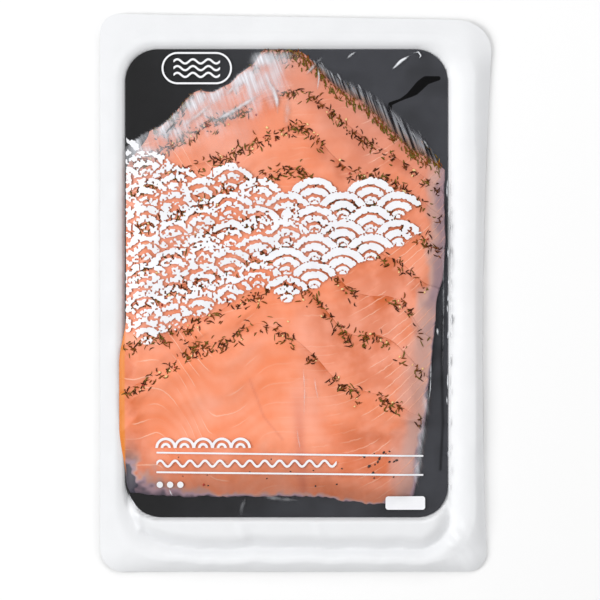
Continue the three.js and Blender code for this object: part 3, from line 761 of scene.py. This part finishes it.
def add_grains(name, x, y, half_long, flatness, finish_name, first, second):
    """A piece of small seeds or crumbs, mottled between two colours: lumpy ellipsoids of six meridians and
    four bands, lying on the pile at any heading."""
    count = len(x)
    turn = np.tile(np.arange(6) * np.pi / 3, 3)
    climb = np.repeat([-0.55, 0.15, 0.8], 6)
    girth = np.sqrt(1 - climb**2)
    rings = joined(girth * np.cos(turn), girth * np.sin(turn), climb)
    unit = np.concatenate([[[0, 0, -1]], rings, [[0, 0, 1]]])
    half_thick = flatness * half_long
    size = joined(half_long, 0.72 * half_long, half_thick)[:, None]
    flat = unit * draw.uniform(0.82, 1.18, (count, len(unit), 1)) * size
    heading = draw.uniform(0, np.pi, count)[:, None]
    turned_x = flat[..., 0] * np.cos(heading) - flat[..., 1] * np.sin(heading)
    turned_y = flat[..., 0] * np.sin(heading) + flat[..., 1] * np.cos(heading)
    height = (laid_height(x, y) + 0.6 * half_thick)[:, None] + flat[..., 2]
    points = joined(x[:, None] + turned_x, y[:, None] + turned_y, height).reshape(-1, 3)
    finish, grain = new_finish(finish_name, Roughness=0.55)
    grain.noise(900.0).mixed(first, second).into("Base Color")
    add_piece(name, points, spindle_faces(count, 3, 6), finish, "dill")


x, y, edge = along_edges(SEEDS_A_SLICE, 2.2, SPICE_BARE)
x, y = x[edge > 0], y[edge > 0]
size = draw.uniform(0.4, 0.72, len(x))
add_grains("mustard_seeds", x, y, size, 0.6, "seed_husk", seen(236, 194, 118), seen(255, 230, 172))

x, y, _ = along_edges(CRUMBS_A_SLICE, 1.8, SPICE_BARE)
x, y = np.append(x, LONE_CRUMB[0]), np.append(y, LONE_CRUMB[1])
size = draw.uniform(0.35, 0.7, len(x))
add_grains("red_crumbs", x, y, size, 0.5, "red_crumb", seen(140, 30, 22), seen(176, 52, 34))

x = np.append(draw.normal(40.0, 4.5, PEPPER_HEAP), draw.uniform(-62, 55, PEPPER_LOOSE))
y = np.append(draw.normal(-76.5, 2.4, PEPPER_HEAP), draw.uniform(-88, -74, PEPPER_LOOSE))
size = np.append(draw.uniform(0.35, 0.95, PEPPER_HEAP), draw.uniform(0.2, 0.5, PEPPER_LOOSE))
add_grains("pepper_specks", x, y, size, 0.4, "pepper_husk", seen(38, 30, 32), seen(66, 50, 48))


# Film: a clear top web, sealed to the flange and sucked down on the salmon and the board. It wets out where
# it lies flat, and bridges the salmon's outer edge with a fringe of fine creases. Its white sheen there and
# along the salmon's head is painted, as a streaked white diffuse layer over the clear film.
FILM_THICK = 0.1
FILM_LIFT = 0.7
SEAL_LIFT = 0.1
FILM_ZONE = 15.0
FILM_CELL = 1.0

film_x, film_y = x, y = plan_over(rim, FILM_ZONE, 14, FILM_CELL)
film_under = lifted(np.maximum(laid_height(x, y), tray_surface(x, y) - 0.02), 10)
for _ in range(2):
    film_under = (film_under + around(film_under)) / 2
film_under += SEAL_LIFT + (FILM_LIFT - SEAL_LIFT) * eased(-beyond(x, y, mouth)[0], 0, 6)

edge_line = line_at(x, y)
past_edge = -edge_line * PITCH * FILLED
on_board = eased(-beyond(x, y, board_edge)[0], 0, 2)
patchy = 0.25 + 0.75 * eased(cloud(1.3 * x, y, 4.0, 32), 0.2, 0.8)
# Painted sheen: white along the salmon's head edge on the left, in a spot at the head, and at the right
# margin.
film_sheen = bell(past_edge + 1.2, np.where(past_edge > -1.2, 0.8, 12.0))
film_sheen *= eased(x, 8, -14) * on_board * patchy
film_sheen += 0.5 * bell(np.hypot(x + 12.5, y - 96.0), 2.2) * on_board
margin_sheen = bell(x + 1.0 - np.interp(-edge_line, -lines, line_right), 1.3)
film_sheen += 0.35 * margin_sheen * eased(-y, 36, 56) * eased(-y, 90, 80) * patchy
span = on_board * eased(x, 8, 16) * eased(x, 66, 62) * edge_gap(x)
film_marks = {"edge": joined(1.25 * (x + 0.36 * y), past_edge, film_sheen), "span": span}

film_finish, wire = new_finish("film_clear_web")
facing = wire.node("LayerWeight", (), {"Blend": 0.5}, 1)
along, outside, sheen_share = wire.marks("edge")
reach = wire.mark("span")
creases = wire.node("CombineXYZ", (), {0: along, 1: 0.1 * outside, 2: 0.0})
streaks = wire.noise(0.62, 4.0, creases).eased(0.4, 0.66)
spanned = wire.math("DIVIDE", outside, FILLED * reach + 0.01)
fringe = reach.eased(0.0, 2.0) * spanned.eased(-0.4, 0.2) * spanned.eased(1.1, 0.35)
# The painted sheen's strength and tone: pinkish next to the salmon, bluish grey farther off, dark between
# streaks.
sheen_amount = 0.9 * sheen_share * (0.5 + 0.5 * streaks) + fringe * (0.55 - 0.3 * streaks)
ripple = wire.noise(110.0, 3.0).bumped(0.0003, 0.15)
clear = wire.node("BsdfTransparent")
mirror = wire.node("BsdfAnisotropic", (), {"Roughness": 0.08, "Normal": ripple})
sheen_light = spanned.eased(0.05, 0.5).mixed(seen(226, 188, 176), seen(214, 216, 224))
sheen_light = (9 * sheen_share).mixed(sheen_light, seen(240, 242, 248))
sheen_tone = (9 * sheen_share + streaks).mixed(seen(38, 38, 42), sheen_light)
sheen_shader = wire.node("BsdfDiffuse", (), {"Color": sheen_tone})
glossy = wire.node("MixShader", (), {0: 0.9 * wire.math("POWER", facing, 5), 1: clear, 2: mirror})
film = wire.node("MixShader", (), {0: sheen_amount, 1: glossy, 2: sheen_shader})
film.into("Surface", "Material Output")
film.tree.nodes.remove(film.tree.nodes["Principled BSDF"])
add_slab("film_web", *pulled(x, y), film_under + FILM_THICK, film_under, film_finish, "film", ["film"],
         film_marks)


def film_height(x, y):
    """Top of the film at a plan point, read from its grid."""
    row = np.interp(y, film_y[:, 0], np.arange(len(film_y)))
    left, right = sides_at(y, rim)
    middle_row = film_x[len(film_x) // 2]
    column = np.interp((x - left) / (right - left), (middle_row - middle_row[0]) / np.ptp(middle_row),
                       np.arange(len(middle_row)))
    return FILM_THICK + between(film_under, row, column)


# Folds: where the film was too wide for what it covers, it lies in narrow ridges and creases that reflect
# the lamps, and their whiteness is a painted highlight along each crest. They gather at the salmon's head,
# along its right edge and on the board's bare corners.
FOLDS = [
    ([(45.2, 91.6), (49, 95.2), (53, 97.8)], 2.0, 1.0),
    ([(54, 98.8), (56.6, 99.2), (57.7, 97.6), (56.8, 96.4)], 1.0, 0.9),
    ([(25.4, 96), (28, 98.2), (29.9, 99.3)], 1.6, 0.5),
    ([(13.2, 95), (14, 88.5), (13.2, 82)], 1.4, 0.5),
    ([(8.2, 89.2), (12, 93.5), (15.6, 97.3)], 2.6, 0.4),
    ([(-9, 88.2), (-5.7, 83.4), (-4.1, 78.4), (-3.7, 72)], 3.0, 0.55),
    ([(0.9, 80), (0.4, 73), (0, 65.5)], 4.2, 0.25),
    ([(-34.2, 68), (-24, 73), (-10.1, 81.8)], 3.2, 0.55),
    ([(-46, 66), (-38, 72), (-31, 78)], 3.0, 0.4),
    ([(-27, 80), (-22, 84.5), (-17, 87)], 3.0, 0.45),
    ([(-56, 62), (-51, 67), (-46.5, 71)], 3.2, 0.45),
    ([(-52, 60), (-50.5, 64.5), (-47.5, 68.5)], 2.4, 0.4),
    ([(62.1, -31.3), (61.7, -45.5), (60.8, -52.4)], 0.9, 0.55),
    ([(64.7, -19), (64.9, -22.5)], 1.5, 0.7),
    ([(-68.3, -88.5), (-66.9, -92.2), (-64.6, -95.6), (-61.5, -98.4)], 0.7, 0.8),
    ([(-50.5, -88), (-49.6, -90), (-48.8, -91.5)], 0.8, 0.6),
    ([(-19.4, -101), (-19, -96), (-17.6, -92)], 3.4, 0.2),
    ([(-13, -91.2), (-4, -92.4), (5.8, -93.2)], 3.0, 0.25),
    ([(67.3, 40), (67.1, 20), (67.4, -10), (67, -40)], 1.3, 0.25),
    ([(70.6, 62), (70.9, 30), (70.7, 0), (70.9, -45)], 1.4, 0.35),
    ([(7.1, -34.3), (7.8, -46), (7.5, -57.9)], 1.2, 0.35),
    ([(11.8, -39), (12.6, -45), (14, -51.5)], 1.2, 0.35),
    ([(4.5, -61), (5, -66.5), (6.2, -72.1)], 1.2, 0.3),
]
FOLD_HEIGHT = 0.35
COMB_STEP = 1.6
PUCKERS = 20
PUCKER_STEP = 7.0


def comb():
    """Short creases side by side where the film spans from the salmon's upper right edge to the board: they
    lean left, differ in length and strength, and leave gaps."""
    draw = np.random.default_rng(51)
    x = np.arange(15, 63, COMB_STEP)
    x = (x + draw.uniform(-0.7, 0.7, len(x)))[draw.random(len(x)) < 0.65]
    low = line_y(x, 0.0) + edge_gap(x) * draw.uniform(0.2, 0.55, len(x))
    high = line_y(x, 0.0) + edge_gap(x) * draw.uniform(0.9, 1.25, len(x))
    lean = draw.normal(0.5, 0.12, len(x)) * (high - low)
    paths = joined(x - 0.5 * lean, high, x, (low + high) / 2, x + 0.5 * lean, low).reshape(-1, 3, 2)
    return list(zip(paths, draw.uniform(0.7, 1.5, len(x)), draw.uniform(0.2, 0.5, len(x))))


def puckers():
    """Short upright creases along the board's right edge, where the film bends up to the tray's wall."""
    draw = np.random.default_rng(52)
    y = PUCKER_STEP * np.arange(PUCKERS) - 88 + draw.uniform(-3, 3, PUCKERS)
    x = board_edge["right"] + draw.uniform(-0.7, 1.6, PUCKERS)
    half = draw.uniform(1.2, 3.4, PUCKERS)
    paths = joined(x - draw.uniform(-0.4, 0.4, PUCKERS), y + half, x, y - half).reshape(-1, 2, 2)
    return list(zip(paths, draw.uniform(0.7, 1.3, PUCKERS), draw.uniform(0.5, 0.9, PUCKERS)))


def ridge(path, width, strength):
    """A low ridge on the film: a path sampled evenly, with a raised cosine across it, drawn to a point at
    both ends. The strength of its painted highlight, kept for each point, falls off with the height."""
    path = np.array(path, float)
    reach = np.append(0, np.cumsum(np.hypot(*np.diff(path, axis=0).T)))
    share = np.linspace(0, 1, 33)
    middle = np.stack([np.interp(share * reach[-1], reach, axis) for axis in path.T], axis=-1)
    middle[1:-1] = (middle[:-2] + 2 * middle[1:-1] + middle[2:]) / 4
    way = np.gradient(middle, axis=0)
    way /= np.linalg.norm(way, axis=1)[:, None]
    taper = np.sin(np.pi * share)**0.6 + 0.02
    across = np.linspace(-1, 1, 9)
    reach_out = across * (taper * width / 2)[:, None]
    x = middle[:, :1] + way[:, 1:] * reach_out
    y = middle[:, 1:] - way[:, :1] * reach_out
    hump = taper[:, None] * (0.5 + 0.5 * np.cos(np.pi * across))
    base = film_height(x, y) + 0.01
    return x, y, base + FOLD_HEIGHT * min(width, 1.0) * hump + 0.01, base, strength * hump


fold_points, fold_faces, fold_glint = [], [], []
for fold in FOLDS + comb() + puckers():
    x, y, top, under, share = ridge(*fold)
    points, faces = slab(x, y, top, under)
    fold_faces.append(faces + sum(map(len, fold_points)))
    fold_points.append(points)
    fold_glint.append(np.tile(share.ravel(), 2))

# Painted highlight: white folds, nearly opaque where the strength is high along the crests, and clear at the
# sides.
fold_glint_finish, wire = new_finish("film_fold", IOR=1.5, Roughness=0.2)
strength = wire.mark("share")
flecks = wire.noise(260.0, 4.0)
flecks.mixed(seen(210, 214, 222), seen(250, 251, 254)).into("Base Color")
(strength * strength * (2.6 * flecks.eased(0.25, 0.75))).into("Alpha")
add_piece("film_folds", np.concatenate(fold_points), np.concatenate(fold_faces), fold_glint_finish, "film",
          marks={"share": np.concatenate(fold_glint)})


# Print: opaque white ink on the film, laid on dry, so that it is speckled and ragged at its edges. It is a
# stack of wave fans that steps back to the right, with two thin rules and small wave ornaments below.
INK_LIFT = 0.05
WAVE_CELL = 0.4
ORNAMENT_CELL = 0.2
FAN = 12.0
FAN_TOP = 51.7
FAN_ENDS = (-60, -40, 0, 38, 62, 56, 49, 39, 32, 24, 2, -17, -32, -58, -99, -99)
FAN_RINGS = 3
RING_CLEAR = 0.8


def wave_fans(x, y):
    """Ink of the wave fans, above 0 where it prints: rows of discs with rings left clear in each, half a
    disc along from the next row and in front of the one above. Past a row's end its discs only cut away what
    is behind."""
    ink = np.full_like(x, -1.0)
    for row, end in enumerate(FAN_ENDS):
        shift = FAN * (row % 2)
        middle = shift + 2 * FAN * np.round((x - shift) / (2 * FAN))
        away = np.hypot(x - middle, y - FAN_TOP + FAN / 2 * row)
        ring = FAN / FAN_RINGS
        disc = np.abs(away - ring * np.round(away / ring)) - RING_CLEAR / 2
        disc = np.where(away < ring / 2, ring / 2 - RING_CLEAR / 2 - away, disc)
        ink = np.where(away < FAN, np.where(middle < end, disc, -1), ink)
    return ink


def ink_grid(left, right, low, high, cell):
    """Plan points on a square grid."""
    return np.meshgrid(np.arange(left, right, cell), np.arange(low, high, cell))


def add_print(name, x, y, ink, cell):
    """A piece of the cells of a grid where ink prints, laid just over the film, with border vertices moved
    along the ink's slope to where it ends."""
    ink = np.clip(ink, -1, 1)
    kept = (ink[:-1, :-1] + ink[:-1, 1:] + ink[1:, 1:] + ink[1:, :-1]) > 0
    wide = np.pad(kept, 1)
    full = wide[:-1, :-1] & wide[:-1, 1:] & wide[1:, :-1] & wide[1:, 1:]
    slope_y, slope_x = np.gradient(ink, cell)
    move = np.where(full, 0, -ink / (slope_x**2 + slope_y**2 + 1e-6))
    x = x + np.clip(move * slope_x, -0.5 * cell, 0.5 * cell)
    y = y + np.clip(move * slope_y, -0.5 * cell, 0.5 * cell)
    points = joined(x, y, film_height(x, y) + INK_LIFT).reshape(-1, 3)
    used, faces = np.unique(grid_faces(*x.shape)[kept.ravel()], return_inverse=True)
    add_piece(name, points[used], faces.reshape(-1, 4), ink_finish, "ink")


ink_finish, wire = new_finish("print_white_ink", IOR=1.45)
wire.noise(180.0, 3.0).mixed(seen(232, 232, 237), seen(246, 247, 249)).into("Base Color")
(0.45 + 0.2 * wire.noise(500.0)).into("Roughness")

x, y = ink_grid(LEFT_X, 66.0, -36.0, 66.0, WAVE_CELL)
worn = 0.25 + 0.75 * eased(cloud(x, y, 13.0, 43) - x / 150, 0.25, 0.75)
specks = eased(cloud(x, y, 0.85, 41), 0.56, 0.88) * worn
dry = cloud(x, y, 2.3, 42) + 0.5 * cloud(x, y, 1.1, 44)
add_print("print_waves", x, y, wave_fans(x, y) - 2.8 * specks - 1.2 * (dry - 0.66) * worn, WAVE_CELL)

RULES = ((-72.6, -0.013), (-81.0, -0.011))
RULE_LEFT, RULE_RIGHT, RULE_THICK = -55.7, 58.7, 0.75
ARCHES, ARCH_Y = 5, -70.6
DOTS, DOT_Y = 3, -86.4
TAG_LINE = 0.8
TAG_WAVES = (95.2, 92.3, 89.4)


def bar(x, y, left, right, low, high, corner=0.0):
    """Ink of a bar with rounded corners: the distance inside it."""
    return -beyond(x, y, sides(left, right, low, high, 4 * [corner]))[0]


def wave_line(x, y, left, right, level, swing, length, thick):
    """Ink of a line that runs as a sine wave between two ends."""
    pace = 2 * np.pi / length
    slope = swing * pace * np.cos(pace * (x - left))
    off = np.abs(y - level - swing * np.sin(pace * (x - left))) / np.hypot(1, slope)
    return np.minimum(thick / 2 - off, np.minimum(x - left, right - x))


x, y = ink_grid(-57.0, 62.0, -99.0, -63.0, ORNAMENT_CELL)
ink = bar(x, y, 42.5, 59.5, -97.2, -91.4, 1.2)
for level, slope in RULES:
    sunk = y - slope * (x - RULE_LEFT)
    low, high = level - RULE_THICK / 2, level + RULE_THICK / 2
    ink = np.maximum(ink, bar(x, sunk, RULE_LEFT, RULE_RIGHT, low, high))
ink = np.maximum(ink, wave_line(x, y, RULE_LEFT, 21.5, -77.3, 1.25, 6.4, 0.95))
for count in range(ARCHES):
    away = np.hypot(x - RULE_LEFT - 4 - 8 * count, y - ARCH_Y)
    ink = np.maximum(ink, np.minimum(0.55 - np.abs(np.abs(away - 2.75) - 1.15), y - ARCH_Y))
for count in range(DOTS):
    ink = np.maximum(ink, 1.35 - np.hypot(x - RULE_LEFT - 1.4 - 4.4 * count, y - DOT_Y))
add_print("print_ornaments", x, y, ink, ORNAMENT_CELL)

x, y = ink_grid(-55.0, -22.0, 83.5, 100.2, ORNAMENT_CELL)
tag = bar(x, y, -53.6, -23.4, 85.4, 99.2, 6.9)
ink = np.minimum(tag, TAG_LINE - tag)
for level in TAG_WAVES:
    ink = np.maximum(ink, wave_line(x, y, -48.5, -28.5, level, 0.9, 6.67, 0.9))
add_print("print_tag", x, y, ink, ORNAMENT_CELL)


# Studio: a pale floor, an even white surround, a large soft lamp from the left, and weaker ones from the
# head and from the right, all turned towards the pack. The camera looks straight down.
CAMERA_UP = 1.5
VIEW_WIDTH = 258.0
VIEW_CENTRE = (1.76, -3.02)
LAMP_SIZE = 1.0
LAMPS = (("key_lamp", (-1.3, 0.0, 1.2), 17.8), ("head_lamp", (0.0, 1.3, 1.2), 7.0),
         ("fill_lamp", (1.3, 0.0, 1.2), 4.8))

floor_mesh = bpy.data.meshes.new("floor")
floor_mesh.from_pydata([(-3, -3, 0), (3, -3, 0), (3, 3, 0), (-3, 3, 0)], [], [(0, 1, 2, 3)])
floor_finish, wire = new_finish("floor_pale", Roughness=0.8)
wire.noise(3.0).mixed(seen(247, 247, 247), seen(249, 249, 249)).into("Base Color")
floor_mesh.materials.append(floor_finish)
floor = placed("floor", floor_mesh)

for name, place, power in LAMPS:
    light = bpy.data.lights.new(name, "AREA")
    light.size = LAMP_SIZE
    light.energy = power
    stand = placed(name, light)
    stand.location = place
    stand.rotation_mode = "QUATERNION"
    stand.rotation_quaternion = (-stand.location).to_track_quat("-Z", "Y")

surround = bpy.data.worlds.new("surround")
surround.use_nodes = True
backdrop = surround.node_tree.nodes["Background"].inputs
backdrop["Color"].default_value = (1, 1, 1, 1)
backdrop["Strength"].default_value = 0.49
bpy.context.scene.world = surround
bpy.context.scene.view_settings.view_transform = "Standard"

lens = bpy.data.cameras.new("camera")
lens.sensor_width = 36.0
lens.lens = lens.sensor_width * CAMERA_UP / (VIEW_WIDTH * MM)
camera = placed("camera", lens)
camera.location = (VIEW_CENTRE[0] * MM, VIEW_CENTRE[1] * MM, CAMERA_UP)
bpy.context.scene.camera = camera
